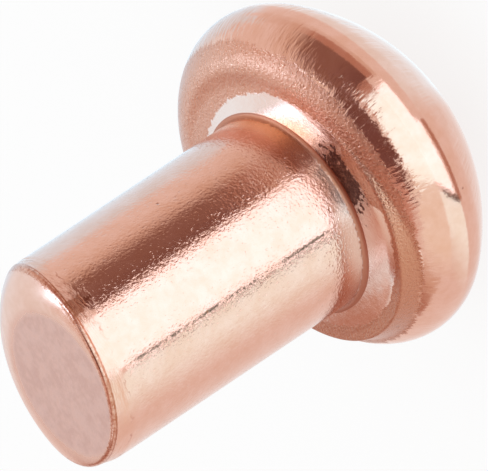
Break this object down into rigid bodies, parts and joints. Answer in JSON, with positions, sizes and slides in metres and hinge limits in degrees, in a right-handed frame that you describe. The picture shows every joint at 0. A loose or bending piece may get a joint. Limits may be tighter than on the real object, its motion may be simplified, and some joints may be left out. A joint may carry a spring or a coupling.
{
  "type": "round head solid rivet",
  "caption": "Solid copper rivet with a plain round shank and a domed round head, set by hammering over the shank's free end.",
  "frame": {"origin": "where the shank's axis meets the bearing face under the head", "axes": "+Z along the shank, from the head to the free end; the shank's end leans 42 degrees round from +X towards +Y"},
  "size_m": [0.0087, 0.0087, 0.0121],
  "materials": {
    "copper": "bright cold-drawn copper"
  },
  "bodies": {
    "root": {"rivet": "copper"}
  },
  "joints": []
}
